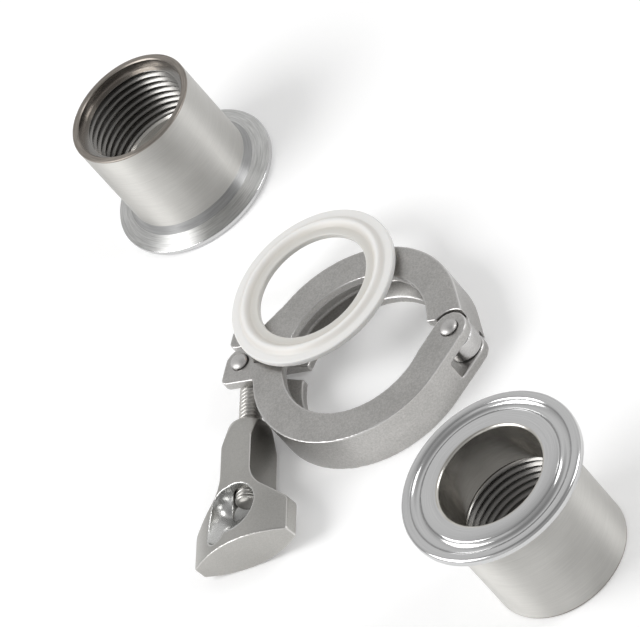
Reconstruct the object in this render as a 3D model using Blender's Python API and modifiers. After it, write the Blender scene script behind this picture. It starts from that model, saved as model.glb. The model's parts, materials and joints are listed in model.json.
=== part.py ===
"""A sanitary clamp connection, taken apart and laid out in a row on its bench.

Two turned ferrules with an internal pipe thread, their gasket, and the hinged clamp that pulls
them together: two cast halves on a hinge pin, a swing bolt on its own pin, a wing nut. The gasket
lies on the clamp. Metres, +Z up. The row runs along Y, the origin is at the middle of its footprint.
"""

import math

import bmesh
import bpy
from mathutils import Matrix, Vector

MM = 0.001
GAP = 0.3 * MM
MERGE = 0.02 * MM
ROUND_STEPS = 48

# Ferrule: a flange for a sanitary clamp on one end, a pipe thread inside the other.
FLANGE_D = 50.5 * MM
FLANGE_EDGE = 1.9 * MM
FLANGE_CONE_DEG = 20.0
EDGE_ROUND = 0.35 * MM
FLANGE_REACH = 6.25 * MM
BARREL_D = FLANGE_D - 2 * FLANGE_REACH
FERRULE_H = 37.0 * MM
FLARE_OUT = 1.4 * MM
FLARE_H = 2.4 * MM
BARREL_WALL = 4.5 * MM
BORE_D = BARREL_D - 2 * BARREL_WALL
BORE_ROUND = 0.8 * MM
THREAD_WALL = 3.7 * MM
THREAD_BORE_D = BARREL_D - 2 * THREAD_WALL
THREAD_DEPTH = 22.5 * MM
THREAD_LEDGE = 0.4 * MM
MOUTH_WALL = 1.9 * MM
MOUTH_D = BARREL_D - 2 * MOUTH_WALL
MOUTH_DEPTH = 2.8 * MM
MOUTH_CONE = 0.6 * MM
RIM_CHAMFER = 0.5 * MM
SEAL_INSET = 4.25 * MM
SEAL_D = FLANGE_D - 2 * SEAL_INSET
GROOVE_W = 2.6 * MM
GROOVE_DEPTH = 1.2 * MM

# Gasket: a flat ring with a bead on both faces that drops into the grooves.
GASKET_WIDTH = 8.45 * MM
GASKET_BORE_D = FLANGE_D - 2 * GASKET_WIDTH
GASKET_WEB = 1.9 * MM
BEAD_PROUD = 1.1 * MM
BEAD_SIDE_CLEARANCE = 0.1 * MM
GASKET_CORNER = 0.35 * MM

# Clamp halves: a cast ring with a groove of the flanges' own taper inside.
CLAMP_W = 13.0 * MM
LIP_OVERLAP = 3.25 * MM
LIP_R = FLANGE_D / 2 - LIP_OVERLAP
GROOVE_CLEARANCE = 1.55 * MM
GROOVE_R = FLANGE_D / 2 + GROOVE_CLEARANCE
RING_WALL = 4.7 * MM
RING_OUTER_R = GROOVE_R + RING_WALL
GROOVE_SLACK = 0.15 * MM
CAST_EDGE = 0.45 * MM
FORK_END = 1.0 * MM
SLOT_HALF_END = 3.3 * MM
ROUGH_ALLOWANCE = 4.0 * MM
ROUGH_BORE_R = LIP_R - ROUGH_ALLOWANCE
CUT_FAR = 60.0 * MM

# Hinge: two ears on the fork half, a knuckle on the other half, a riveted pin.
HINGE_INSET = 2.0 * MM
HINGE_X = RING_OUTER_R - HINGE_INSET
EAR_R = 5.0 * MM
KNUCKLE_H = 5.8 * MM
HINGE_SLOT_DEPTH = 9.5 * MM
EAR_INNER_DEG = 160.0
KNUCKLE_INNER_DEG = 150.0
EAR_CLEARANCE = 0.6 * MM
TAPER_DEG = 35.0
PIN_D = 4.4 * MM
RIVET_D = 5.3 * MM
RIVET_DOME = 1.5 * MM

# Bolt side: a two-eared lug on the fork half, a slotted lug on the other half.
LUG_OUT = 5.0 * MM
LUG_X = RING_OUTER_R + LUG_OUT
LUG_R = 4.8 * MM
LUG_HEEL = 6.8 * MM
LUG_CORNER = 2.0 * MM
SEAT_NEAR = 5.2 * MM
SEAT_FAR = 11.6 * MM
SEAT_REACH = 5.0 * MM
SEAT_BLEND_DEG = 146.0
BOLT_SLOT_CLEARANCE = 0.35 * MM

# Swing bolt and wing nut.
BOLT_D = 6.35 * MM
BOLT_LENGTH = 43.7 * MM
BOLT_CHAMFER = 0.8 * MM
EYE_R = 4.8 * MM
SHANK_START = 1.9 * MM
NUT_START = 18.0 * MM
NUT_LENGTH = 42.0 * MM
NUT_HUB_R = 5.9 * MM
NUT_HUB_HALF_W = 5.1 * MM
NUT_MOUTH_ROUND = 1.2 * MM
NUT_PAST = 1.0 * MM
NUT_SWELL = 3.0 * MM
NUT_NECK_END = 13.6 * MM
NUT_BORE_CLEARANCE = 0.3 * MM
NUT_THICK = 12.4 * MM
WING_HALF_SPAN = 15.5 * MM
WING_TIP_THICK = 4.0 * MM
WING_FLARE_START = 18.0 * MM
WING_FLARE_R = 10.0 * MM
WING_FLARE_DEG = 50.0
WING_SHOULDER_R = 2.2 * MM
WING_EDGE = 0.45 * MM
NUT_BORE_PAST = 0.7 * MM
SWELL_END = 27.5 * MM
WINDOW_FOOT = (25.9 * MM, 0.0, -3.2 * MM)
WINDOW_FOOT_R = 3.3 * MM
WINDOW_RIM = (31.3 * MM, -0.6 * MM, 8.0 * MM)
WINDOW_RIM_R = 8.2 * MM
RAMP_START = 29.3 * MM
RAMP_DEG = 33.0
DISH_START = (28.0 * MM, -3.0 * MM, 4.6 * MM)
DISH_START_R = 5.0 * MM
DISH_END = (36.2 * MM, -6.2 * MM, 6.7 * MM)
DISH_END_R = 3.6 * MM

# How the pieces stand in their row, in the order of the assembly.
SPLIT_DEG = -44.0
BOLT_LEAN_DEG = 12.0
NUT_ROLL_DEG = 8.0
ROW_GAP = 1.6 * MM
FERRULE_BACK_X = -2.6 * MM
FERRULE_FRONT_X = 3.0 * MM
FERRULE_FRONT_CLEAR = 40.0 * MM

CLAMP_MID = CLAMP_W / 2
HOLE_R = PIN_D / 2 + GAP
HINGE_SLOT = KNUCKLE_H + 2 * GAP
BOLT_SLOT = BOLT_D + 2 * BOLT_SLOT_CLEARANCE
CONE_SLOPE = math.tan(math.radians(FLANGE_CONE_DEG))


def clear_scene():
    for obj in list(bpy.data.objects):
        bpy.data.objects.remove(obj, do_unlink=True)


def new_collection(name, hidden=False):
    collection = bpy.data.collections.new(name)
    collection.hide_render = hidden
    bpy.context.scene.collection.children.link(collection)
    return collection


def new_material(name, colour, roughness, metallic):
    material = bpy.data.materials.new(name)
    material.use_nodes = True
    shader = material.node_tree.nodes["Principled BSDF"]
    shader.inputs["Base Color"].default_value = (*colour, 1.0)
    shader.inputs["Roughness"].default_value = roughness
    shader.inputs["Metallic"].default_value = metallic
    return material


def link(name, mesh, collection):
    obj = bpy.data.objects.new(name, mesh)
    collection.objects.link(obj)
    if collection.hide_render:
        obj.hide_render = True
        obj.display_type = "WIRE"
    return obj


def dress(obj, material):
    """Gives a finished piece its material and smooth round faces."""
    obj.data.materials.append(material)
    obj.data.shade_smooth()
    obj.data.set_sharp_from_angle(angle=math.radians(30.0))
    return obj


def arc(centre, radius, start, end, count):
    """Points along an arc between two angles in degrees, both ends included."""
    points = []
    for step in range(count + 1):
        angle = math.radians(start + (end - start) * step / count)
        points.append((centre[0] + radius * math.cos(angle), centre[1] + radius * math.sin(angle)))
    return points


def turned(name, profile, collection, closed=True, steps=ROUND_STEPS):
    """A turned solid: (radius, height) points, down the outer side and up the inner one."""
    bm = bmesh.new()
    verts = [bm.verts.new((radius, 0.0, height)) for radius, height in profile]
    ends = verts[1:] + verts[:1] if closed else verts[1:]
    for first, second in zip(verts, ends):
        bm.edges.new((first, second))
    mesh = bpy.data.meshes.new(name)
    bm.to_mesh(mesh)
    bm.free()
    obj = link(name, mesh, collection)
    screw = obj.modifiers.new("turn", "SCREW")
    screw.axis = "Z"
    screw.steps = screw.render_steps = steps
    screw.use_merge_vertices = True
    screw.merge_threshold = MERGE
    return obj


def plate(name, outline, bottom, top, collection, edge=0.0):
    """A flat outline with a thickness: a filled 2D curve made a mesh, its edges broken by a bevel."""
    curve = bpy.data.curves.new(name, "CURVE")
    curve.dimensions = "2D"
    curve.fill_mode = "BOTH"
    curve.extrude = (top - bottom) / 2
    spline = curve.splines.new("POLY")
    spline.points.add(len(outline) - 1)
    for point, (x, y) in zip(spline.points, outline):
        point.co = (x, y, 0.0, 1.0)
    spline.use_cyclic_u = True
    drawn = link(name + "_outline", curve, collection)
    graph = bpy.context.evaluated_depsgraph_get()
    mesh = bpy.data.meshes.new_from_object(drawn.evaluated_get(graph))
    bpy.data.objects.remove(drawn, do_unlink=True)
    bm = bmesh.new()
    bm.from_mesh(mesh)
    bmesh.ops.remove_doubles(bm, verts=bm.verts, dist=MERGE)
    bmesh.ops.translate(bm, verts=bm.verts, vec=(0.0, 0.0, (bottom + top) / 2))
    bmesh.ops.recalc_face_normals(bm, faces=bm.faces)
    bm.to_mesh(mesh)
    bm.free()
    obj = link(name, mesh, collection)
    if edge:
        bevel = obj.modifiers.new("edge", "BEVEL")
        bevel.width = edge
        bevel.segments = 2
        bevel.limit_method = "ANGLE"
        bevel.angle_limit = math.radians(60.0)
    return obj


def rod(name, radius, start, end, collection, steps=32, chamfer=0.0):
    """A round bar between two points, with a chamfer at its far end if one is given."""
    start, end = Vector(start), Vector(end)
    length = (end - start).length
    profile = [(0.0, length), (radius - chamfer, length), (radius, length - chamfer), (radius, 0.0), (0.0, 0.0)]
    if not chamfer:
        del profile[2]
    obj = turned(name, profile, collection, closed=False, steps=steps)
    obj.matrix_world = Matrix.Translation(start) @ (end - start).to_track_quat("Z", "Y").to_matrix().to_4x4()
    return obj


def block(name, low, high, collection):
    """A box between two corners."""
    bm = bmesh.new()
    bmesh.ops.create_cube(bm, size=1.0)
    size = Vector(high) - Vector(low)
    bmesh.ops.scale(bm, verts=bm.verts, vec=size)
    bmesh.ops.translate(bm, verts=bm.verts, vec=(Vector(high) + Vector(low)) / 2)
    mesh = bpy.data.meshes.new(name)
    bm.to_mesh(mesh)
    bm.free()
    return link(name, mesh, collection)


def hull(name, points, collection):
    """The convex solid round some points."""
    bm = bmesh.new()
    for point in points:
        bm.verts.new(point)
    bmesh.ops.convex_hull(bm, input=bm.verts[:])
    bmesh.ops.delete(bm, geom=[vert for vert in bm.verts if not vert.link_faces], context="VERTS")
    bmesh.ops.recalc_face_normals(bm, faces=bm.faces)
    mesh = bpy.data.meshes.new(name)
    bm.to_mesh(mesh)
    bm.free()
    return link(name, mesh, collection)


def ring_points(centre, radius, steps):
    angles = [math.tau * i / steps for i in range(steps)]
    return [Vector(centre) + Vector((radius * math.cos(a), radius * math.sin(a), 0.0)) for a in angles]


def ball_points(centre, radius, rows):
    """Points of a ball: its two poles and the rings between them."""
    pole = Vector((0.0, 0.0, radius))
    points = [Vector(centre) + pole, Vector(centre) - pole]
    for row in range(1, rows):
        tilt = math.pi * row / rows
        height = Vector((0.0, 0.0, radius * math.cos(tilt)))
        points += ring_points(Vector(centre) + height, radius * math.sin(tilt), 2 * rows)
    return points


def boolean(obj, other, operation):
    modifier = obj.modifiers.new(operation.lower() + "_" + other.name, "BOOLEAN")
    modifier.operation = operation
    modifier.solver = "EXACT"
    modifier.object = other
    other.parent = obj


def ferrule_profile():
    """Half section of a ferrule that stands on its flange, thread upwards."""
    flange_r, barrel_r = FLANGE_D / 2, BARREL_D / 2
    foot_r = barrel_r + FLARE_OUT
    cone_top = FLANGE_EDGE + (flange_r - foot_r) * CONE_SLOPE
    groove = arc((SEAL_D / 2, 0.0), GROOVE_W / 2, 180.0, 0.0, 6)
    groove = [(radius, height * GROOVE_DEPTH / (GROOVE_W / 2)) for radius, height in groove]
    outside = [
        (barrel_r - RIM_CHAMFER, FERRULE_H),
        (barrel_r, FERRULE_H - RIM_CHAMFER),
        (barrel_r, cone_top + FLARE_H),
        (foot_r, cone_top),
        (flange_r - EDGE_ROUND, FLANGE_EDGE + EDGE_ROUND * CONE_SLOPE),
        (flange_r, FLANGE_EDGE - EDGE_ROUND),
        (flange_r, EDGE_ROUND),
        (flange_r - EDGE_ROUND, 0.0),
    ]
    thread_end = FERRULE_H - THREAD_DEPTH
    inside = [
        (BORE_D / 2 + BORE_ROUND, 0.0),
        (BORE_D / 2 + BORE_ROUND / 4, BORE_ROUND / 4),
        (BORE_D / 2, BORE_ROUND),
        (BORE_D / 2, thread_end),
        (THREAD_BORE_D / 2, thread_end + THREAD_LEDGE),
        (THREAD_BORE_D / 2, FERRULE_H - MOUTH_DEPTH),
        (MOUTH_D / 2 - MOUTH_CONE, FERRULE_H - MOUTH_DEPTH),
        (MOUTH_D / 2, FERRULE_H),
    ]
    return outside + groove[::-1] + inside


def ferrule(name, place, thread_up, parts, material):
    """One ferrule: turned over, it stands on its threaded end with the sealing face up."""
    profile = ferrule_profile()
    if not thread_up:
        profile = [(radius, FERRULE_H - height) for radius, height in profile][::-1]
    obj = turned(name, profile, parts)
    obj.location = place
    return dress(obj, material)


def gasket(place, parts, material):
    """The gasket lies on its lower bead, so the web is held clear of the bench."""
    outer_r, inner_r, bead_r = FLANGE_D / 2, GASKET_BORE_D / 2, SEAL_D / 2
    half_bead = GROOVE_W / 2 - BEAD_SIDE_CLEARANCE
    low, high = BEAD_PROUD, BEAD_PROUD + GASKET_WEB
    crown = [(bead_r + x * half_bead, high + y * BEAD_PROUD) for x, y in arc((0.0, 0.0), 1.0, 180.0, 0.0, 6)]
    sole = [(bead_r + x * half_bead, low - y * BEAD_PROUD) for x, y in arc((0.0, 0.0), 1.0, 0.0, 180.0, 6)]
    corner = GASKET_CORNER
    outer = [(outer_r - corner, high), (outer_r, high - corner), (outer_r, low + corner), (outer_r - corner, low)]
    inner = [(inner_r + corner, low), (inner_r, low + corner), (inner_r, high - corner), (inner_r + corner, high)]
    obj = turned("gasket", crown + outer + sole + inner, parts)
    obj.location = place
    return dress(obj, material)


def void_profile():
    """The space inside the closed clamp: the open middle and the tapered groove for both flanges."""
    flange_half = GASKET_WEB / 2 + FLANGE_EDGE + GROOVE_SLACK
    floor_half = flange_half - (GROOVE_R - FLANGE_D / 2) * CONE_SLOPE
    lip_half = flange_half + (FLANGE_D / 2 - LIP_R) * CONE_SLOPE
    past = 1.0 * MM
    return [
        (0.0, CLAMP_W + past),
        (LIP_R, CLAMP_W + past),
        (LIP_R, CLAMP_MID + lip_half),
        (GROOVE_R, CLAMP_MID + floor_half),
        (GROOVE_R, CLAMP_MID - floor_half),
        (LIP_R, CLAMP_MID - lip_half),
        (LIP_R, -past),
        (0.0, -past),
    ]


def hinge_tangent_deg():
    """Angle at which one straight line touches both the ring and the ear."""
    return math.degrees(math.acos((RING_OUTER_R - EAR_R) / HINGE_X))


def ring_x(height):
    """How far out the ring's outer wall is, at a distance from the split line."""
    return math.sqrt(RING_OUTER_R**2 - height**2)


def fork_half_outline():
    """Plan of the half with the ears, going round from the hinge ear by the outer wall."""
    tangent = hinge_tangent_deg()
    heel_deg = math.degrees(math.asin(LUG_HEEL / RING_OUTER_R))
    outline = arc((HINGE_X, 0.0), EAR_R, EAR_INNER_DEG, -tangent, 14)
    outline += arc((0.0, 0.0), RING_OUTER_R, -tangent, -180.0 + heel_deg, 34)
    left = -LUG_X - LUG_R
    outline += arc((left + LUG_CORNER, -LUG_HEEL + LUG_CORNER), LUG_CORNER, -90.0, -180.0, 4)
    outline += arc((-LUG_X, 0.0), LUG_R, 180.0, 0.0, 12)
    outline.append((-LUG_X + LUG_R, -FORK_END))
    end_deg = math.degrees(math.asin(FORK_END / ROUGH_BORE_R))
    outline += arc((0.0, 0.0), ROUGH_BORE_R, 180.0 + end_deg, 360.0 - TAPER_DEG, 12)
    outline += arc((0.0, 0.0), LIP_R, 360.0 - TAPER_DEG, 360.0 - TAPER_DEG + 0.5, 1)
    return outline


def slot_half_outline():
    """Plan of the half with the slotted lug, going round from the lug by the outer wall."""
    tangent = hinge_tangent_deg()
    left = -LUG_X - SEAT_REACH
    outline = [(-ring_x(SLOT_HALF_END), SLOT_HALF_END), (-ring_x(SEAT_NEAR), SEAT_NEAR)]
    outline += arc((left + LUG_CORNER, SEAT_NEAR + LUG_CORNER), LUG_CORNER, -90.0, -180.0, 4)
    outline += arc((left + LUG_CORNER, SEAT_FAR - LUG_CORNER), LUG_CORNER, 180.0, 90.0, 4)
    outline.append((-LUG_X + SEAT_REACH, SEAT_FAR))
    outline += arc((0.0, 0.0), RING_OUTER_R, SEAT_BLEND_DEG, tangent, 30)
    outline += arc((HINGE_X, 0.0), EAR_R - GAP, tangent, -KNUCKLE_INNER_DEG, 14)
    outline.append((HINGE_X - EAR_R - EAR_CLEARANCE, EAR_CLEARANCE))
    end_deg = math.degrees(math.asin(SLOT_HALF_END / ROUGH_BORE_R))
    outline += arc((0.0, 0.0), ROUGH_BORE_R, 2.0, 180.0 - end_deg, 12)
    return outline


def clamp_half_fork(parts, cutters, void, material):
    half = plate("clamp_half_fork", fork_half_outline(), 0.0, CLAMP_W, parts, CAST_EDGE)
    boolean(half, void, "DIFFERENCE")
    slot_low, slot_high = CLAMP_MID - HINGE_SLOT / 2, CLAMP_MID + HINGE_SLOT / 2
    hinge_slot = block("hinge_slot", (0.0, -HINGE_SLOT_DEPTH, slot_low), (CUT_FAR, CUT_FAR, slot_high), cutters)
    boolean(half, hinge_slot, "DIFFERENCE")
    slot_low, slot_high = CLAMP_MID - BOLT_SLOT / 2, CLAMP_MID + BOLT_SLOT / 2
    wall_x = -LUG_X + EYE_R + 2 * GAP
    bolt_slot = block("bolt_slot", (-CUT_FAR, -CUT_FAR, slot_low), (wall_x, CUT_FAR, slot_high), cutters)
    boolean(half, bolt_slot, "DIFFERENCE")
    for name, x in (("hinge_hole", HINGE_X), ("bolt_pin_hole", -LUG_X)):
        hole = rod(name, HOLE_R, (x, 0.0, -MM), (x, 0.0, CLAMP_W + MM), cutters, steps=24)
        boolean(half, hole, "DIFFERENCE")
    return dress(half, material)


def clamp_half_slot(parts, cutters, void, material):
    half = plate("clamp_half_slot", slot_half_outline(), 0.0, CLAMP_W, parts, CAST_EDGE)
    boolean(half, void, "DIFFERENCE")
    knuckle_low, knuckle_high = CLAMP_MID - KNUCKLE_H / 2, CLAMP_MID + KNUCKLE_H / 2
    for name, low, high in (("lower_ear_room", -MM, knuckle_low), ("upper_ear_room", knuckle_high, CLAMP_W + MM)):
        room = rod(name, EAR_R + EAR_CLEARANCE, (HINGE_X, 0.0, low), (HINGE_X, 0.0, high), cutters, steps=40)
        boolean(half, room, "DIFFERENCE")
    hole = rod("knuckle_hole", HOLE_R, (HINGE_X, 0.0, -MM), (HINGE_X, 0.0, CLAMP_W + MM), cutters, steps=24)
    boolean(half, hole, "DIFFERENCE")
    slot_r = BOLT_SLOT / 2
    slot_end = -LUG_X + slot_r
    slot = plate("seat_slot", [(-CUT_FAR, -slot_r)] + arc((slot_end - slot_r, 0.0), slot_r, -90.0, 90.0, 10)
                 + [(-CUT_FAR, slot_r)], 0.0, SEAT_FAR + 2 * MM, cutters)
    slot.rotation_euler = (math.radians(-90.0), 0.0, 0.0)
    slot.location = (0.0, 0.0, CLAMP_MID)
    boolean(half, slot, "DIFFERENCE")
    return dress(half, material)


def rivet_pin(name, x, parts, material):
    """A pin with a domed head on the upper ear, its lower end closed flush so the clamp lies flat."""
    pin_r, head_r = PIN_D / 2, RIVET_D / 2
    seat = CLAMP_W + GAP
    dome = [(head_r * math.cos(a), seat + RIVET_DOME * math.sin(a)) for a in (math.pi / 2 * k / 5 for k in range(6))]
    profile = [(0.0, seat + RIVET_DOME)] + dome[4::-1] + [(pin_r, seat), (pin_r, GAP), (0.0, GAP)]
    pin = turned(name, profile, parts, closed=False, steps=24)
    pin.location = (x, 0.0, 0.0)
    return dress(pin, material)


def swing_bolt(parts, cutters, material):
    """Eye at the origin, shank along +X; its thread is left plain at the outer diameter."""
    eye_half = BOLT_D / 2
    bolt = rod("swing_bolt", EYE_R, (0.0, 0.0, -eye_half), (0.0, 0.0, eye_half), parts, steps=32)
    bolt.matrix_world = Matrix.Identity(4)
    bolt.data.transform(Matrix.Translation((0.0, 0.0, -eye_half)))
    shank = rod("bolt_shank", BOLT_D / 2, (SHANK_START, 0.0, 0.0), (BOLT_LENGTH, 0.0, 0.0), cutters, 24, BOLT_CHAMFER)
    boolean(bolt, shank, "UNION")
    hole = rod("eye_hole", HOLE_R, (0.0, 0.0, -2 * eye_half), (0.0, 0.0, 2 * eye_half), cutters, steps=24)
    boolean(bolt, hole, "DIFFERENCE")
    return dress(bolt, material)


def wing_outline():
    """Front view of the wings: a neck, a flare to the shoulders, straight sides to the end face."""
    start = (WING_FLARE_START, NUT_HUB_HALF_W)
    flare = arc((start[0], start[1] + WING_FLARE_R), WING_FLARE_R, -90.0, -90.0 + WING_FLARE_DEG, 6)
    last = flare[-1]
    slope = math.tan(math.radians(WING_FLARE_DEG))
    shoulder_x = last[0] + (WING_HALF_SPAN - last[1]) / slope
    half_turn = math.radians(WING_FLARE_DEG / 2)
    back = WING_SHOULDER_R * math.tan(half_turn)
    centre = (shoulder_x + back, WING_HALF_SPAN - WING_SHOULDER_R)
    shoulder = arc(centre, WING_SHOULDER_R, 90.0 + WING_FLARE_DEG, 90.0, 4)
    upper = [(-NUT_PAST, start[1])] + flare + shoulder + [(NUT_LENGTH, WING_HALF_SPAN)]
    return upper + [(x, -y) for x, y in reversed(upper)]


def lens_outline():
    """End view of the wings: two arcs that meet in blunt tips."""
    rise = (NUT_THICK - WING_TIP_THICK) / 2
    radius = (WING_HALF_SPAN**2 + rise**2) / (2 * rise)
    centre = NUT_THICK / 2 - radius
    reach = math.degrees(math.asin((WING_HALF_SPAN + NUT_PAST) / radius))
    top = arc((0.0, centre), radius, 90.0 - reach, 90.0 + reach, 14)
    return top + [(-x, -y) for x, y in top]


def swell_profile():
    """What the round mouth of the hub leaves of the casting: it swells slowly, then frees the wings."""
    past = NUT_LENGTH + NUT_PAST
    wide = WING_HALF_SPAN + NUT_THICK
    down = [(0.0, past), (wide, past), (wide, SWELL_END)]
    down += [(NUT_HUB_R + NUT_SWELL, NUT_NECK_END), (NUT_HUB_R, NUT_MOUTH_ROUND)]
    return down + [(NUT_HUB_R - NUT_MOUTH_ROUND, 0.0), (0.0, 0.0)]


def window_points():
    """A funnel from a small foot to a wide rim, cut off below by a ramp that rises to the end face."""
    slope = math.tan(math.radians(RAMP_DEG))
    points = []
    feet = ring_points(WINDOW_FOOT, WINDOW_FOOT_R, 36)
    rims = ring_points(WINDOW_RIM, WINDOW_RIM_R, 36)
    for foot, rim in zip(feet, rims):
        under = foot.z - slope * (foot.x - RAMP_START)
        over = rim.z - slope * (rim.x - RAMP_START)
        share = max(0.0, -under / (over - under))
        points += [foot.lerp(rim, share), rim]
    return points


def wing_nut(parts, cutters, material):
    """Bolt axis along +X from the hub's mouth, wings along Y, the broad faces up and down."""
    nut = plate("wing_nut", wing_outline(), -NUT_THICK, NUT_THICK, parts)
    lens = plate("lens", lens_outline(), -NUT_LENGTH, NUT_LENGTH + 2 * MM, cutters)
    lens.data.transform(Matrix(((0, 0, 1, 0), (1, 0, 0, 0), (0, 1, 0, 0), (0, 0, 0, 1))))
    boolean(nut, lens, "INTERSECT")
    swell = turned("hub_swell", swell_profile(), cutters, closed=False, steps=40)
    swell.rotation_euler = (0.0, math.radians(90.0), 0.0)
    boolean(nut, swell, "INTERSECT")
    edge = nut.modifiers.new("edge", "BEVEL")
    edge.width = WING_EDGE
    edge.segments = 2
    edge.limit_method = "ANGLE"
    edge.angle_limit = math.radians(35.0)
    bore_end = BOLT_LENGTH - NUT_START + NUT_BORE_PAST
    bore = rod("nut_bore", BOLT_D / 2 + NUT_BORE_CLEARANCE, (-MM, 0.0, 0.0), (bore_end, 0.0, 0.0), cutters, 32)
    boolean(nut, bore, "DIFFERENCE")
    dish = ball_points(DISH_START, DISH_START_R, 12) + ball_points(DISH_END, DISH_END_R, 12)
    half_turn = Matrix.Rotation(math.pi, 4, "X")
    for side, turn in (("upper", Matrix.Identity(4)), ("lower", half_turn)):
        for name, points in (("window", window_points()), ("dish", dish)):
            cutter = hull(side + "_" + name, [turn @ point for point in points], cutters)
            boolean(nut, cutter, "DIFFERENCE")
    return dress(nut, material)


def turned_point(x, y, degrees):
    """A point of the plan, turned about the origin."""
    angle = math.radians(degrees)
    return (x * math.cos(angle) - y * math.sin(angle), x * math.sin(angle) + y * math.cos(angle))


def back_ferrule_y():
    """Just behind the reach of the wing nut, which swings round with the bolt."""
    pin_x, pin_y = turned_point(-LUG_X, 0.0, SPLIT_DEG)
    reach = math.hypot(NUT_START + NUT_LENGTH, WING_HALF_SPAN)
    distance = reach + FLANGE_D / 2 + ROW_GAP
    return pin_y + math.sqrt(distance**2 - (FERRULE_BACK_X - pin_x) ** 2)


def front_ferrule_y():
    return -(RING_OUTER_R + FERRULE_FRONT_CLEAR + FLANGE_D / 2)


def gasket_place():
    """On top of the slotted half, level with the bolt pin and beside its head, in the hinge's frame."""
    pin_x, pin_y = turned_point(-LUG_X, 0.0, SPLIT_DEG)
    beside = pin_x + RIVET_D / 2 + GAP + FLANGE_D / 2
    x, y = turned_point(beside, pin_y, -SPLIT_DEG)
    return (x - HINGE_X, y, CLAMP_W + GAP)


def empty(name, parent, location, turn=0.0):
    """An axis that pieces hang on, in the frame of its parent."""
    holder = bpy.data.objects.new(name, None)
    bpy.context.scene.collection.objects.link(holder)
    holder.parent = parent
    holder.location = location
    holder.rotation_euler = (0.0, 0.0, math.radians(turn))
    return holder


def hang(obj, parent, location=(0.0, 0.0, 0.0), roll=0.0):
    obj.parent = parent
    obj.location = location
    obj.rotation_euler = (math.radians(roll), 0.0, 0.0)


def centre_row(row, parts):
    """Moves the row so that the origin is at the middle of its footprint."""
    bpy.context.view_layer.update()
    graph = bpy.context.evaluated_depsgraph_get()
    low, high = [math.inf, math.inf], [-math.inf, -math.inf]
    for obj in parts.objects:
        evaluated = obj.evaluated_get(graph)
        for vert in evaluated.to_mesh().vertices:
            point = evaluated.matrix_world @ vert.co
            for axis in (0, 1):
                low[axis] = min(low[axis], point[axis])
                high[axis] = max(high[axis], point[axis])
        evaluated.to_mesh_clear()
    row.location.x -= (low[0] + high[0]) / 2
    row.location.y -= (low[1] + high[1]) / 2


def main():
    clear_scene()
    parts = new_collection("sanitary_clamp_threaded_adapter")
    cutters = new_collection("cutters", hidden=True)
    turned_steel = new_material("turned_stainless", (0.56, 0.55, 0.52), 0.28, 1.0)
    cast_steel = new_material("blasted_cast_stainless", (0.42, 0.41, 0.39), 0.45, 1.0)
    nut_steel = new_material("satin_cast_stainless", (0.40, 0.40, 0.38), 0.42, 1.0)
    bright_steel = new_material("bright_stainless", (0.62, 0.61, 0.59), 0.22, 1.0)
    soft_white = new_material("white_sealing_plastic", (0.80, 0.79, 0.75), 0.40, 0.0)

    row = empty("row", None, (0.0, 0.0, 0.0))
    for name, x, y, thread_up in (
        ("ferrule_thread_up", FERRULE_BACK_X, back_ferrule_y(), True),
        ("ferrule_face_up", FERRULE_FRONT_X, front_ferrule_y(), False),
    ):
        ferrule(name, (x, y, 0.0), thread_up, parts, turned_steel).parent = row

    clamp = empty("clamp", row, (0.0, 0.0, 0.0), SPLIT_DEG)
    hinge_axis = empty("hinge_axis", clamp, (HINGE_X, 0.0, 0.0))
    bolt_axis = empty("bolt_axis", clamp, (-LUG_X, 0.0, CLAMP_MID), -90.0 + BOLT_LEAN_DEG)
    gasket(gasket_place(), parts, soft_white).parent = hinge_axis

    fork_void = turned("fork_void", void_profile(), cutters, closed=False, steps=96)
    hang(clamp_half_fork(parts, cutters, fork_void, cast_steel), clamp)
    slot_void = turned("slot_void", void_profile(), cutters, closed=False, steps=96)
    hang(clamp_half_slot(parts, cutters, slot_void, cast_steel), hinge_axis, (-HINGE_X, 0.0, 0.0))
    hinge_pin = rivet_pin("hinge_pin", HINGE_X, parts, bright_steel)
    bolt_pin = rivet_pin("bolt_pin", -LUG_X, parts, bright_steel)
    hinge_pin.parent = clamp
    bolt_pin.parent = clamp
    hang(swing_bolt(parts, cutters, bright_steel), bolt_axis)
    hang(wing_nut(parts, cutters, nut_steel), bolt_axis, (NUT_START, 0.0, 0.0), NUT_ROLL_DEG)
    centre_row(row, parts)


main()
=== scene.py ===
# %% [markdown]
# A sanitary clamp connection taken apart: two turned ferrules with an internal pipe thread,
# the soft gasket that seals them, and the hinged clamp with its swing bolt and wing nut.
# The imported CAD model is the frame. It gives the place of each piece, and this script gives the looks.
# Every piece is built in millimetres on its own axis, and is then set where the frame's solid is.

# %% Load the frame
import json
import math

import bmesh
import bpy
import numpy as np
from mathutils import Matrix, Vector
from mathutils.bvhtree import BVHTree


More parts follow.
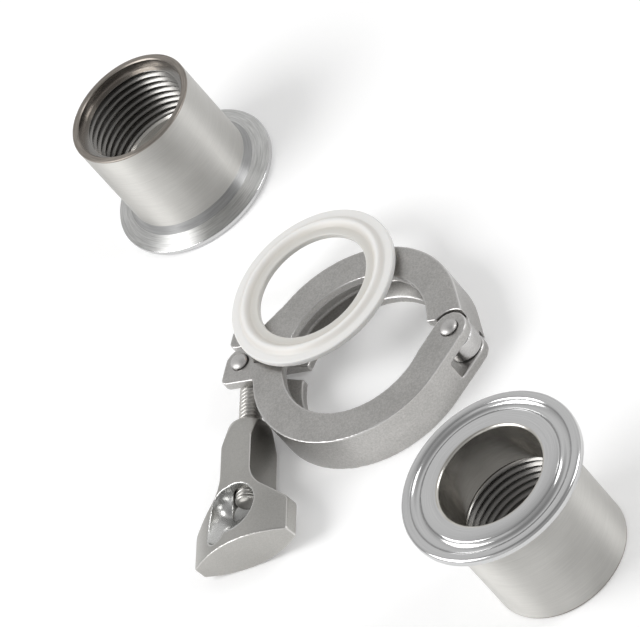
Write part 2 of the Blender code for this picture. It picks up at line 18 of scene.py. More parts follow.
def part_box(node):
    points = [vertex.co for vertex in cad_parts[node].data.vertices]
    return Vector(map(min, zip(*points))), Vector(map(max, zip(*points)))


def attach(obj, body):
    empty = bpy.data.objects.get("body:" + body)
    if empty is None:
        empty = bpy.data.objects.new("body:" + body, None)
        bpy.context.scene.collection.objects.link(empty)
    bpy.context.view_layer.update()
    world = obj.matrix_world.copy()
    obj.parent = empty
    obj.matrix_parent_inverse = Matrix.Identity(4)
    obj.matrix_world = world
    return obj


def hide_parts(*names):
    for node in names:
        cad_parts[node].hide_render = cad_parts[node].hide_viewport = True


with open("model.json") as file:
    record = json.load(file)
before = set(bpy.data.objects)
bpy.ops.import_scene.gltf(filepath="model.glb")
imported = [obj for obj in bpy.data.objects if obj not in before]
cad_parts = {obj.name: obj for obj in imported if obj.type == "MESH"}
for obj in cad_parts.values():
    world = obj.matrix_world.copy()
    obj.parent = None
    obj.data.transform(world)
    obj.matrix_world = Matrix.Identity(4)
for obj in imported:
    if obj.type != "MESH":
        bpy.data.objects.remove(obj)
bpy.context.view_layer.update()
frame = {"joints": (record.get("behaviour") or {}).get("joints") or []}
MM = 0.001

# %% [markdown]
# The frame's solids say where things are. The two pins give the clamp's long axis, and the ring's
# centre lies between them. The nut's joint gives the swing bolt's direction.

# %% Places read from the frame
# Lengths are in mm. HINGE_X and LUG_X are how far the two pins are from the ring's centre.
HINGE_X, LUG_X = 29.5, 36.5
CLAMP_W = 13.0
FLANGE_R, GASKET_IN_R = 25.25, 16.8
NUT_START, NUT_ROLL_DEG = 18.0, 8.0
UP = Vector((0, 0, 1))
TO_METRES = Matrix.Diagonal((MM, MM, MM, 1.0))


def centre_of(solid):
    low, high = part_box(solid)
    return (low + high) / 2


def axis_matrix(origin, along):
    """Millimetres on a piece's own axes to metres in the frame: X along, Z up."""
    x = Vector(along).normalized()
    z = (UP - x * UP.dot(x)).normalized()
    y = z.cross(x)
    turn = Matrix((x, y, z)).transposed().to_4x4()
    return Matrix.Translation(origin) @ turn @ TO_METRES


hinge_at = centre_of("hinge_pin")
bolt_pin_at = centre_of("bolt_pin")
hinge_at.z = bolt_pin_at.z = 0.0
clamp_along = (hinge_at - bolt_pin_at).normalized()
ring_centre = hinge_at - clamp_along * HINGE_X * MM
clamp_place = axis_matrix(ring_centre, clamp_along)
bolt_joint = next(joint for joint in frame["joints"] if joint["name"] == "nut_turn")
bolt_place = axis_matrix(bolt_pin_at + UP * CLAMP_W / 2 * MM, bolt_joint["axis"])
nut_roll = Matrix.Rotation(math.radians(NUT_ROLL_DEG), 4, "X")
nut_place = bolt_place @ Matrix.Translation((NUT_START, 0, 0)) @ nut_roll
back_ferrule_at = centre_of("ferrule_thread_up")
front_ferrule_at = centre_of("ferrule_face_up")
gasket_at = centre_of("gasket")
print("ring centre in mm:", [round(v / MM, 1) for v in ring_centre])

# %% [markdown]
# The photograph looks down at about 41 degrees with a long lens, and it is turned, so that the row
# of pieces runs across the picture from one corner to the other. A real camera tipped the same way
# gives the same picture.

# %% Camera
VIEW_ELEVATION_DEG = 41.0
VIEW_ROLL_DEG = 42.0
VIEW_DISTANCE = 1.2
VIEW_WIDTH = 175 * MM
VIEW_AIM = Vector((18.5, 26.0, 0.0)) * MM

elevation = math.radians(VIEW_ELEVATION_DEG)
towards_eye = Vector((0.0, -math.cos(elevation), math.sin(elevation)))
camera_data = bpy.data.cameras.new("camera")
camera_data.sensor_width = 36.0
camera_data.lens = camera_data.sensor_width * VIEW_DISTANCE / VIEW_WIDTH
camera = bpy.data.objects.new("camera", camera_data)
bpy.context.scene.collection.objects.link(camera)
level = (-towards_eye).to_track_quat("-Z", "Y").to_matrix().to_4x4()
roll = Matrix.Rotation(math.radians(-VIEW_ROLL_DEG), 4, "Z")
camera.matrix_world = Matrix.Translation(VIEW_AIM + towards_eye * VIEW_DISTANCE) @ level @ roll
bpy.context.scene.camera = camera
print("lens in mm:", round(camera_data.lens))

# %% [markdown]
# A few short helpers add nodes, so that each tree below reads as a list of what it does. An input
# is given either a value or the output that feeds it.

# %% Node helpers
FLOAT, VECTOR, GEOMETRY = "NodeSocketFloat", "NodeSocketVector", "NodeSocketGeometry"


def fill(tree, made, links):
    """Wires or fills a node's inputs."""
    for key, value in links.items():
        if isinstance(value, bpy.types.NodeSocket):
            tree.links.new(value, made.inputs[key])
        else:
            made.inputs[key].default_value = value


def node(tree, kind, links=None, **settings):
    """Adds a node, sets its properties, and wires or fills its inputs."""
    made = tree.nodes.new(kind)
    for key, value in settings.items():
        setattr(made, key, value)
    fill(tree, made, links or {})
    return made


def maths(tree, operation, first, second=0.0, clamp=False):
    settings = {"operation": operation, "use_clamp": clamp}
    return node(tree, "ShaderNodeMath", {0: first, 1: second}, **settings).outputs[0]


def vectors(tree, operation, first, second=None):
    """Vector maths. The second input is a vector, or a number where the first is scaled."""
    links = {0: first}
    if second is not None:
        links["Scale" if operation == "SCALE" else 1] = second
    made = node(tree, "ShaderNodeVectorMath", links, operation=operation)
    return made.outputs["Value" if operation == "LENGTH" else "Vector"]


def axes_of(tree, vector):
    return list(node(tree, "ShaderNodeSeparateXYZ", {0: vector}).outputs)


def joined(tree, **axes):
    return node(tree, "ShaderNodeCombineXYZ", axes).outputs[0]


print("node helpers ready")

# %% [markdown]
# The next helpers make what most of the finishes use: ranges, mixes, colour ramps and bumps, and
# the groups and materials that they go in.

# %% Ranges, ramps and groups
def mapped(tree, value, low, high, to_low=0.0, to_high=1.0):
    """A number carried from one range to another, and held at its ends."""
    ranges = {"Value": value, "From Min": low, "From Max": high, "To Min": to_low, "To Max": to_high}
    return node(tree, "ShaderNodeMapRange", ranges).outputs["Result"]


def blend(tree, factor, first, second, kind="MIX"):
    """Two colours, mixed or multiplied."""
    links = {"Factor": factor, 6: first, 7: second}
    return node(tree, "ShaderNodeMix", links, data_type="RGBA", blend_type=kind).outputs[2]


def ramp_of(tree, factor, stops):
    """A colour that runs smoothly past pairs of place and colour."""
    made = node(tree, "ShaderNodeValToRGB", {"Fac": factor})
    made.color_ramp.interpolation = "B_SPLINE"
    ends = made.color_ramp.elements
    for place, tone in stops[1:-1]:
        ends.new(place).color = (*tone, 1)
    for end, (place, tone) in zip((ends[0], ends[-1]), (stops[0], stops[-1])):
        end.position = place
        end.color = (*tone, 1)
    return made.outputs["Color"]


def bump_of(tree, height, distance):
    links = {"Height": height, "Strength": 1.0, "Distance": distance}
    return node(tree, "ShaderNodeBump", links).outputs["Normal"]


def new_group(name, kind, inputs, outputs):
    """A node group with its sockets, and its input and output nodes."""
    group = bpy.data.node_groups.new(name, kind)
    for label, socket_kind, value in inputs:
        socket = group.interface.new_socket(label, in_out="INPUT", socket_type=socket_kind)
        if value is not None:
            socket.default_value = value
    for label, socket_kind in outputs:
        group.interface.new_socket(label, in_out="OUTPUT", socket_type=socket_kind)
    return group, group.nodes.new("NodeGroupInput"), group.nodes.new("NodeGroupOutput")


def new_finish(name):
    """A new material, its tree and its shader."""
    finish = bpy.data.materials.new(name)
    finish.use_nodes = True
    return finish, finish.node_tree, finish.node_tree.nodes["Principled BSDF"]


print("finish helpers ready")

# %% [markdown]
# Steel shows its surroundings more than its own colour, so the studio is made for it. The floor is
# pale, and a faint glow that only the camera and mirrored or refracted rays see keeps it nearly
# white.

# %% Floor
FLOOR_LIFT = 0.16
FLOOR_HALF = 3

floor_mesh = bpy.data.meshes.new("floor")
corners = [(-FLOOR_HALF, -FLOOR_HALF, 0), (FLOOR_HALF, -FLOOR_HALF, 0),
           (FLOOR_HALF, FLOOR_HALF, 0), (-FLOOR_HALF, FLOOR_HALF, 0)]
floor_mesh.from_pydata(corners, [], [(0, 1, 2, 3)])
floor = bpy.data.objects.new("floor", floor_mesh)
bpy.context.scene.collection.objects.link(floor)
floor_finish, tree, shader = new_finish("pale_floor")
ray = node(tree, "ShaderNodeLightPath").outputs
mirrored = maths(tree, "MAXIMUM", ray["Is Glossy Ray"], ray["Is Transmission Ray"])
seen = maths(tree, "MAXIMUM", ray["Is Camera Ray"], mirrored)
fill(tree, shader, {
    "Base Color": (0.90, 0.90, 0.90, 1),
    "Roughness": 0.9,
    "Specular IOR Level": 0.1,
    "Emission Color": (1, 1, 1, 1),
    "Emission Strength": maths(tree, "MULTIPLY", seen, FLOOR_LIFT),
})
floor_mesh.materials.append(floor_finish)
print("floor is", 2 * FLOOR_HALF, "m wide")

# %% [markdown]
# The sky is light up to half its height and darker overhead. Round the pieces it has bright and
# dark bands, like soft boxes and black flags, which fade out overhead. Two small lamps help it.

# %% Sky and lamps
SKY_STRENGTH = 0.78
SKY_BY_HEIGHT = [(0.0, 0.95), (0.30, 0.85), (0.52, 0.95), (0.72, 1.05), (0.86, 0.55), (1.0, 0.35)]
SKY_BY_BEARING = [
    (0.0, 1.12), (0.10, 0.75), (0.18, 0.60), (0.27, 1.9), (0.36, 1.5), (0.44, 0.55),
    (0.60, 0.60), (0.72, 0.50), (0.81, 1.7), (0.90, 1.0), (1.0, 1.12),
]
BANDS_GONE, BANDS_FULL = 0.97, 0.75


def area_light(name, place, size, power):
    """A square lamp that looks at the origin."""
    light = bpy.data.lights.new(name, "AREA")
    light.size = size
    light.energy = power
    lamp = bpy.data.objects.new(name, light)
    bpy.context.scene.collection.objects.link(lamp)
    lamp.location = place
    lamp.rotation_mode = "QUATERNION"
    lamp.rotation_quaternion = (-Vector(place)).to_track_quat("-Z", "Y")


def greys(stops):
    return [(place, (grey, grey, grey)) for place, grey in stops]


world = bpy.data.worlds.new("studio")
bpy.context.scene.world = world
world.use_nodes = True
sky = world.node_tree
to_right, to_back, height = axes_of(sky, node(sky, "ShaderNodeTexCoord").outputs["Generated"])
bearing = maths(sky, "ARCTAN2", to_right, maths(sky, "MULTIPLY", to_back, -1.0))
by_height = ramp_of(sky, height, greys(SKY_BY_HEIGHT))
by_bearing = ramp_of(sky, mapped(sky, bearing, -math.pi, math.pi), greys(SKY_BY_BEARING))
fade = mapped(sky, height, BANDS_GONE, BANDS_FULL)
whole = blend(sky, fade, by_height, by_bearing, "MULTIPLY")
fill(sky, sky.nodes["Background"], {"Color": whole, "Strength": SKY_STRENGTH})
area_light("left_soft_box", (-0.60, 0.10, 0.62), 0.55, 4.5)
area_light("right_soft_box", (0.7, -0.25, 0.5), 0.35, 2.0)
bpy.context.scene.view_settings.view_transform = "Standard"
print("sky has", len(sky.nodes), "nodes")

# %% [markdown]
# An effect that several steels share is a node group. Lathe lines run round the axis of a turned
# piece: a noise is stretched very long round the axis and is very short across it. Cast grain is
# the fine peened texture that bead blasting leaves on the castings. Edge wear and highlight reads an
# attribute that each casting carries, which is high on its corners. The lighter tone there is partly
# rubbed wear and partly a painted highlight where the edges catch the light.

# %% Shared effects
MM_PER_M = 1000.0
CLOUDS_PER_M, PATCHES_PER_M = 55.0, 90.0

lathe_group, group_in, group_out = new_group(
    "lathe_lines", "ShaderNodeTree",
    [("Centre", VECTOR, (0, 0, 0)), ("Lines per mm", FLOAT, 6.0), ("Change round axis", FLOAT, 1.5)],
    [("Lines", FLOAT), ("Clouds", FLOAT)],
)
given = group_in.outputs
where = node(lathe_group, "ShaderNodeTexCoord").outputs["Object"]
centred = vectors(lathe_group, "SUBTRACT", where, given["Centre"])
x, y, z = axes_of(lathe_group, centred)
flat = joined(lathe_group, X=x, Y=y)
across = maths(lathe_group, "ADD", vectors(lathe_group, "LENGTH", flat), z)
in_mm = maths(lathe_group, "MULTIPLY", across, MM_PER_M)
dense = maths(lathe_group, "MULTIPLY", in_mm, given["Lines per mm"])
unit = vectors(lathe_group, "NORMALIZE", flat)
round_axis = vectors(lathe_group, "SCALE", unit, given["Change round axis"])
line_at = vectors(lathe_group, "ADD", round_axis, joined(lathe_group, Z=dense))
line_noise = {"Vector": line_at, "Scale": 1.0, "Detail": 3.0, "Roughness": 0.6}
cloud_noise = {"Vector": centred, "Scale": CLOUDS_PER_M, "Detail": 2.0}
fill(lathe_group, group_out, {
    "Lines": node(lathe_group, "ShaderNodeTexNoise", line_noise).outputs["Fac"],
    "Clouds": node(lathe_group, "ShaderNodeTexNoise", cloud_noise).outputs["Fac"],
})

grain_group, group_in, group_out = new_group(
    "cast_grain", "ShaderNodeTree", [("Grains per mm", FLOAT, 2.2)], [("Grain", FLOAT), ("Patches", FLOAT)],
)
where = node(grain_group, "ShaderNodeTexCoord").outputs["Object"]
fine = maths(grain_group, "MULTIPLY", group_in.outputs["Grains per mm"], MM_PER_M)
grain_noise = {"Vector": where, "Scale": fine, "Detail": 2.0}
patch_noise = {"Vector": where, "Scale": PATCHES_PER_M, "Detail": 3.0}
fill(grain_group, group_out, {
    "Grain": node(grain_group, "ShaderNodeTexNoise", grain_noise).outputs["Fac"],
    "Patches": node(grain_group, "ShaderNodeTexNoise", patch_noise).outputs["Fac"],
})

# The edge tone lightens every convex corner, partly as real rubbed wear and partly as a painted highlight
# where the edges catch the light.
wear_and_highlight_group, group_in, group_out = new_group(
    "edge_wear_and_highlight", "ShaderNodeTree", [("Amount", FLOAT, 1.0)], [("Worn and highlit", FLOAT)],
)
edge = node(wear_and_highlight_group, "ShaderNodeAttribute", attribute_name="edge").outputs["Fac"]
fill(wear_and_highlight_group, group_out, {"Worn and highlit": maths(wear_and_highlight_group, "MULTIPLY", edge, group_in.outputs["Amount"], True)})
print("effects:", [group.name for group in (lathe_group, grain_group, wear_and_highlight_group)])

# %% [markdown]
# The turned ferrules have several finishes on one piece: a satin barrel, a cone with clear lathe
# lines, a polished sealing face, a ground rim with a faint brown tint from welding heat, and
# threads. The threads and the steep flare at the barrel's foot are darkened with painted shade, and
# the bore is lightened with painted light. They differ in tone, roughness, lines and how far they
# draw a highlight out round the axis, so one function makes them all.

# %% Turned finishes
NOISE_LOW, NOISE_HIGH = 0.3, 0.7
ROUGH_SPREAD = 0.15
# Each row: name, darkest and lightest tone, roughness, height of the lines in mm, lines per mm,
# how soon a line changes round the axis, and anisotropy.
FERRULE_FINISHES = {
    "barrel": ("satin_barrel", (0.555, 0.547, 0.525), (0.625, 0.616, 0.592), 0.48, 0.0014, 6.0, 2.5, 0.9),
    "cone": ("turned_cone", (0.50, 0.50, 0.49), (0.74, 0.74, 0.73), 0.38, 0.007, 5.0, 3.5, 0.85),
    # The flare's dark tone is painted shade in the crease at the barrel's foot.
    "flare": ("turned_flare_painted_shade", (0.30, 0.30, 0.30), (0.42, 0.42, 0.42), 0.34, 0.004, 6.0, 2.0, 0.7),
    "face": ("polished_face", (0.57, 0.57, 0.57), (0.65, 0.65, 0.65), 0.17, 0.0008, 9.0, 1.5, 0.5),
    "rim": ("ground_rim", (0.22, 0.20, 0.18), (0.38, 0.345, 0.31), 0.36, 0.004, 5.0, 4.0, 0.7),
    "mouth": ("turned_mouth", (0.40, 0.355, 0.315), (0.58, 0.54, 0.50), 0.22, 0.003, 5.0, 4.0, 0.7),
    # The bore's light tone is painted light inside the bore.
    "bore": ("polished_bore_painted_light", (0.54, 0.52, 0.48), (0.72, 0.705, 0.67), 0.24, 0.0012, 5.0, 4.0, 0.7),
    # The thread's dark tone is painted shade in its grooves.
    "thread": ("cut_thread_painted_shade", (0.22, 0.214, 0.205), (0.36, 0.35, 0.335), 0.26, 0.001, 8.0, 1.5, 0.3),
}


def tone_between(tree, factor, low, high, first, second):
    """A colour that runs from first to second as the factor goes from low to high."""
    return blend(tree, mapped(tree, factor, low, high), (*first, 1), (*second, 1))


def turned_steel(name, centre, dark, light, rough, line_height, lines_per_mm, change, anisotropy):
    finish, tree, shader = new_finish(name)
    inputs = {"Centre": centre, "Lines per mm": lines_per_mm, "Change round axis": change}
    effect = node(tree, "ShaderNodeGroup", inputs, node_tree=lathe_group).outputs
    smoothest, roughest = rough * (1 - ROUGH_SPREAD), rough * (1 + ROUGH_SPREAD)
    fill(tree, shader, {
        "Metallic": 1.0,
        "Anisotropic": anisotropy,
        "Anisotropic Rotation": 0.25,
        "Base Color": tone_between(tree, effect["Lines"], NOISE_LOW, NOISE_HIGH, dark, light),
        "Roughness": mapped(tree, effect["Clouds"], NOISE_LOW, NOISE_HIGH, smoothest, roughest),
        "Normal": bump_of(tree, effect["Lines"], line_height * MM),
    })
    return finish


print("turned finishes:", list(FERRULE_FINISHES))

# %% [markdown]
# One more function makes the steel of the castings, the pins and the bolt. They differ in tone,
# grain and how bright their worn edges are. That edge tone is partly real wear and partly a painted
# highlight.

# %% Cast finishes
PATCH_SHARE, GRAIN_SHARE = 0.35, 0.65
MOTTLE_LOW, MOTTLE_HIGH = 0.35, 0.65
WEAR_AND_HIGHLIGHT_AMOUNT = 1.0


def cast_steel(name, dark, light, worn_and_highlit, rough, worn_and_highlit_rough, grain_height, grains_per_mm):
    finish, tree, shader = new_finish(name)
    inputs = {"Grains per mm": grains_per_mm}
    grain = node(tree, "ShaderNodeGroup", inputs, node_tree=grain_group).outputs
    rubbed_and_highlit = node(tree, "ShaderNodeGroup", {"Amount": WEAR_AND_HIGHLIGHT_AMOUNT}, node_tree=wear_and_highlight_group).outputs["Worn and highlit"]
    patches = maths(tree, "MULTIPLY", grain["Patches"], PATCH_SHARE)
    mottle = maths(tree, "ADD", patches, maths(tree, "MULTIPLY", grain["Grain"], GRAIN_SHARE))
    body = tone_between(tree, mottle, MOTTLE_LOW, MOTTLE_HIGH, dark, light)
    # The corners get the worn tone: real wear, and a painted highlight on the edges.
    fill(tree, shader, {
        "Metallic": 1.0,
        "Base Color": blend(tree, rubbed_and_highlit, body, (*worn_and_highlit, 1)),
        "Roughness": mapped(tree, rubbed_and_highlit, 0.0, 1.0, rough, worn_and_highlit_rough),
        "Normal": bump_of(tree, grain["Grain"], grain_height * MM),
    })
    return finish


# Each call: name, darkest, lightest and worn tone (worn edges with a painted edge highlight),
# roughness of the skin and of the worn edges, height of the grain in mm, and grains per mm.
CAST = cast_steel(
    "blasted_cast_steel", (0.40, 0.392, 0.38), (0.54, 0.53, 0.515), (0.66, 0.65, 0.64),
    0.38, 0.30, 0.014, 2.2)
# The knuckle's steel is a smoother copy of the cast steel, rubbed smoother by turning, and its lighter tone
# is a painted highlight.
KNUCKLE_STEEL_AND_HIGHLIGHT = cast_steel(
    "worn_knuckle_steel_and_highlight", (0.56, 0.55, 0.54), (0.66, 0.65, 0.64), (0.7, 0.7, 0.7),
    0.26, 0.20, 0.006, 2.2)
NUT_STEEL = cast_steel(
    "satin_cast_steel", (0.415, 0.407, 0.388), (0.485, 0.476, 0.455), (0.66, 0.65, 0.63),
    0.36, 0.30, 0.006, 2.6)
# The hollows' steel is a smoother copy of the nut's steel, and its lighter tone is painted light.
DISH_STEEL_AND_PAINTED_LIGHT = cast_steel(
    "smooth_dish_steel_painted_light", (0.56, 0.56, 0.55), (0.66, 0.66, 0.65), (0.66, 0.66, 0.65),
    0.25, 0.25, 0.002, 2.6)
PIN_STEEL = cast_steel(
    "bright_pin_steel", (0.52, 0.51, 0.50), (0.60, 0.59, 0.58), (0.70, 0.70, 0.70),
    0.42, 0.32, 0.004, 2.5)
BOLT_STEEL = cast_steel(
    "rolled_bolt_steel", (0.44, 0.43, 0.41), (0.52, 0.51, 0.49), (0.6, 0.6, 0.6),
    0.36, 0.28, 0.003, 3.0)
print("cast finishes:", [made.name for made in (CAST, KNUCKLE_STEEL_AND_HIGHLIGHT, NUT_STEEL, DISH_STEEL_AND_PAINTED_LIGHT)])

# %% [markdown]
# The gasket is an opaque white sealing plastic. Light spreads a little inside it, so its shadows
# stay soft, and it has a low even sheen instead of a sharp highlight. Its tone follows the distance
# from the ring's middle, and that tone is painted light and shade: painted shade makes the inner web
# grey and the bead's flanks warm, and a painted highlight lightens the bead's crown and the outer web.

# %% Gasket finish
# Places run from 0 at the inner rim to 1 at the outer rim. The grey inner web and the warm bead
# flanks are painted shade, and the light bead crown and outer web are a painted highlight.
MILKY_TONES_PAINTED_LIGHT_AND_SHADE = [
    (0.01, (0.66, 0.65, 0.62)), (0.20, (0.57, 0.555, 0.52)), (0.33, (0.66, 0.63, 0.58)),
    (0.43, (0.82, 0.81, 0.79)), (0.53, (0.83, 0.825, 0.81)), (0.63, (0.68, 0.65, 0.605)),
    (0.74, (0.80, 0.795, 0.78)), (0.99, (0.76, 0.755, 0.74)),
]
MILKY_GRAINS_PER_MM, MILKY_GRAIN_HEIGHT = 0.9, 0.004
gasket_finish, tree, shader = new_finish("white_sealing_plastic")
grains = {"Grains per mm": MILKY_GRAINS_PER_MM}
grain = node(tree, "ShaderNodeGroup", grains, node_tree=grain_group).outputs["Grain"]
where = node(tree, "ShaderNodeTexCoord").outputs["Object"]
from_middle = vectors(tree, "SUBTRACT", where, gasket_at)
in_plane = vectors(tree, "MULTIPLY", from_middle, (MM_PER_M, MM_PER_M, 0))
outwards = mapped(tree, vectors(tree, "LENGTH", in_plane), GASKET_IN_R, FLANGE_R)
fill(tree, shader, {
    "Base Color": ramp_of(tree, outwards, MILKY_TONES_PAINTED_LIGHT_AND_SHADE),
    "Subsurface Weight": 0.25,
    "Subsurface Radius": (1.0, 0.9, 0.8),
    "Subsurface Scale": 0.0012,
    "Roughness": mapped(tree, grain, 0.0, 1.0, 0.32, 0.42),
    "Normal": bump_of(tree, grain, MILKY_GRAIN_HEIGHT * MM),
})
print("gasket finish has", len(MILKY_TONES_PAINTED_LIGHT_AND_SHADE), "tones")

# %% [markdown]
# A section is a list of points, and each point carries the name of its finish.

# %% Section helpers
TURN_STEPS = 160
MERGE_MM = 1e-4


def arc(centre, radius, start, end, count):
    """Points on an arc, with its start and end in degrees."""
    angles = np.radians(np.linspace(start, end, count + 1))
    return [(centre[0] + radius * math.cos(a), centre[1] + radius * math.sin(a)) for a in angles]


def named(points, finish):
    return [(radius, height, finish) for radius, height in points]


def shown(name, mesh):
    obj = bpy.data.objects.new(name, mesh)
    bpy.context.scene.collection.objects.link(obj)
    return obj


def outward(mesh):
    """Merges what coincides and makes every face point out."""
    bm = bmesh.new()
    bm.from_mesh(mesh)
    bmesh.ops.remove_doubles(bm, verts=bm.verts, dist=MERGE_MM)
    bmesh.ops.recalc_face_normals(bm, faces=bm.faces)
    bm.to_mesh(mesh)
    bm.free()


def spiral_rows(low, high, pitch, rows_per_pitch):
    """How many rows a spiral strip needs so that it covers low to high at every angle."""
    return int(math.ceil((high - low) / pitch * rows_per_pitch)) + rows_per_pitch + 1


print("section helpers ready")

# %% [markdown]
# A turned piece is half a section swung round its axis. Its stretches keep their own finishes, so
# the lathe-lined cone and the polished face are parts of one closed mesh.

# %% Turned mesh
def turned_mesh(name, section, steps, finishes=None, spiral=None):
    """section is a closed list of (radius, height, finish name), in mm. Poles merge into one point.
    spiral is (first row, past last row, low, high, pitch, rows per pitch) of the rows that climb."""
    rows = len(section)
    angle = np.linspace(0.0, math.tau, steps, endpoint=False)
    radii = np.array([row[0] for row in section])[:, None]
    heights = np.array([row[1] for row in section])[:, None]
    axes = [radii * np.cos(angle), radii * np.sin(angle), heights + 0 * angle]
    points = np.stack(axes, axis=-1).reshape(-1, 3)
    index = np.arange(rows * steps).reshape(rows, steps)
    beside = np.roll(index, -1, 1)
    if spiral:
        first, past, low, high, pitch, per_pitch = spiral
        row_climb = (np.arange(past - first)[:, None] - per_pitch) * pitch / per_pitch
        climb = row_climb + pitch * angle / math.tau
        points.reshape(rows, steps, 3)[first:past, :, 2] = np.clip(low + climb, low, high)
        beside[first:past, -1] = index[np.minimum(np.arange(first, past) + per_pitch, past - 1), 0]
    below, corner = np.roll(index, -1, 0), np.roll(beside, -1, 0)
    faces = np.stack([index, below, corner, beside], axis=-1).reshape(-1, 4)
    mesh = bpy.data.meshes.new(name)
    mesh.from_pydata(points.tolist(), [], faces.tolist())
    if spiral:
        mark = mesh.attributes.new("thread", "FLOAT", "POINT")
        zone = np.zeros((rows, steps), np.float32)
        zone[first:past] = 1.0
        mark.data.foreach_set("value", zone.ravel())
    if finishes:
        names = list(finishes)
        for finish in finishes.values():
            mesh.materials.append(finish)
        per_row = np.array([names.index(row[2]) for row in section])
        mesh.polygons.foreach_set("material_index", np.repeat(per_row, steps).astype(np.int32))
    outward(mesh)
    return mesh


print("turned meshes take", TURN_STEPS, "steps round a ferrule or the gasket")

# %% [markdown]
# Each finished piece stands at the origin, unturned and unscaled, with its place in its points.

# %% Setting a piece in place
def set_in_place(solid, mesh, place, body, sharp_deg):
    """Bakes the place into the mesh, smooths it, puts it on the body that it rides on, and hides the
    frame's solid that it stands for.
    """
    mesh.transform(place)
    mesh.shade_smooth()
    mesh.set_sharp_from_angle(angle=math.radians(sharp_deg))
    piece = shown(solid + "_piece", mesh)
    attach(piece, body)
    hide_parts(solid)
    print(piece.name, len(mesh.polygons), "faces")


# %% [markdown]
# A thread is a groove that climbs one pitch for each turn. On a finely stepped turned surface it
# takes no cutting: each point only moves out or in by an amount that depends on its height and its
# angle. A Geometry Nodes tree does that, with the pitch and the radii as its inputs, and the same
# tree threads both ferrules and the swing bolt. The rows of the strip climb with the thread too, so
# that no row of points crosses a crest.

# %% Thread tree
FLANK_LOW, FLANK_HIGH = 0.10, 0.90

thread_tree, tree_in, tree_out = new_group(
    "helical_thread", "GeometryNodeTree",
    [("Geometry", GEOMETRY, None), ("Inner radius", FLOAT, 15.1), ("Depth", FLOAT, 1.48),
     ("Pitch", FLOAT, 2.309), ("First height", FLOAT, 0.0), ("Last height", FLOAT, 20.0),
     ("First fade", FLOAT, 0.01), ("Last fade", FLOAT, 0.01), ("Finish", "NodeSocketMaterial", None)],
    [("Geometry", GEOMETRY)],
)
given = tree_in.outputs
x, y, z = axes_of(thread_tree, node(thread_tree, "GeometryNodeInputPosition").outputs[0])
turn = maths(thread_tree, "DIVIDE", maths(thread_tree, "ARCTAN2", y, x), math.tau)
above_first = maths(thread_tree, "SUBTRACT", z, given["First height"])
below_last = maths(thread_tree, "SUBTRACT", given["Last height"], z)
climb = maths(thread_tree, "DIVIDE", above_first, given["Pitch"])
fold = maths(thread_tree, "PINGPONG", maths(thread_tree, "SUBTRACT", climb, turn), 0.5)
flank = mapped(thread_tree, maths(thread_tree, "MULTIPLY", fold, 2.0), FLANK_LOW, FLANK_HIGH)
from_first = maths(thread_tree, "DIVIDE", above_first, given["First fade"], True)
to_last = maths(thread_tree, "DIVIDE", below_last, given["Last fade"], True)
cut = maths(thread_tree, "MULTIPLY", maths(thread_tree, "MULTIPLY", flank, from_first), to_last)
moved_by = maths(thread_tree, "MULTIPLY", cut, given["Depth"])
new_radius = maths(thread_tree, "ADD", given["Inner radius"], moved_by)
unit = vectors(thread_tree, "NORMALIZE", joined(thread_tree, X=x, Y=y))
spoke = vectors(thread_tree, "SCALE", unit, new_radius)
new_place = vectors(thread_tree, "ADD", spoke, joined(thread_tree, Z=z))
mark = node(thread_tree, "GeometryNodeInputNamedAttribute", {"Name": "thread"}, data_type="FLOAT")
in_zone = node(thread_tree, "FunctionNodeCompare", {0: mark.outputs["Attribute"], 1: 0.5},
               data_type="FLOAT", operation="GREATER_THAN").outputs[0]
moved = node(thread_tree, "GeometryNodeSetPosition",
             {"Geometry": given["Geometry"], "Selection": in_zone, "Position": new_place})
real = node(thread_tree, "GeometryNodeRealizeInstances", {"Geometry": moved.outputs[0]})
coated = node(thread_tree, "GeometryNodeSetMaterial",
              {"Geometry": real.outputs[0], "Selection": in_zone, "Material": given["Finish"]})
fill(thread_tree, tree_out, {0: coated.outputs[0]})


def apply_tree(name, mesh, tree, values):
    """Runs a geometry tree on a mesh and gives back the plain mesh that it makes."""
    holder = shown(name + "_blank", mesh)
    modifier = holder.modifiers.new("tree", "NODES")
    modifier.node_group = tree
    for item in tree.interface.items_tree:
        if item.in_out == "INPUT" and item.name in values:
            modifier[item.identifier] = values[item.name]
    bpy.context.view_layer.update()
    graph = bpy.context.evaluated_depsgraph_get()
    made = bpy.data.meshes.new_from_object(holder.evaluated_get(graph))
    made.name = name
    bpy.data.objects.remove(holder, do_unlink=True)
    return made


print("thread tree has", len(thread_tree.nodes), "nodes")

# %% [markdown]
# The ferrule is turned from bar: a rim, a plain barrel, a steep flare at its foot, the 20 degree
# cone that the clamp pulls on, and a thin flange. Its far face carries the half-round groove for
# the gasket's bead. Inside are a short counterbore, a one inch parallel pipe thread of 2.309 mm
# pitch, a small ledge and a smooth bore.

# %% Ferrule
# Lists are points of the section: radius and height in mm, with the sealing face at height 0.
BARREL_R, FERRULE_H, RIM_ROUND = 19.0, 37.0, 0.4
BARREL = [(BARREL_R, 36.5), (BARREL_R, 21.0), (BARREL_R, 6.15)]
FLARE = [(19.03, 6.04), (20.34, 3.78)]
CONE = [(20.42, 3.66), (22.5, 2.9), (24.9, 2.03)]
EDGE_ROUND, EDGE_H, FACE_ROUND = 0.3, 1.68, 1.0
SEAL_R, GROOVE_HALF, GROOVE_DEEP = 21.0, 1.65, 1.2
# The groove's rounded lips: how far outside the groove, and how deep.
GROOVE_LIP = [(0.38, 0.0), (0.16, 0.05), (0.04, 0.13)]
BORE_R, BORE_ROUND = 14.5, 0.8
BORE = [(BORE_R, 7.0), (BORE_R, 14.5), (14.75, 14.75)]
THREAD_MINOR_R, THREAD_DEEP, PIPE_PITCH, PIPE_ROWS = 15.145, 1.48, 2.309, 18
THREAD_LOW, THREAD_HIGH = 15.1, 34.15
MOUTH = [(16.75, 34.2), (16.8, 34.4), (17.0, 36.3)]
MOUTH_RIM = [(17.05, 36.7), (17.35, 37.0)]


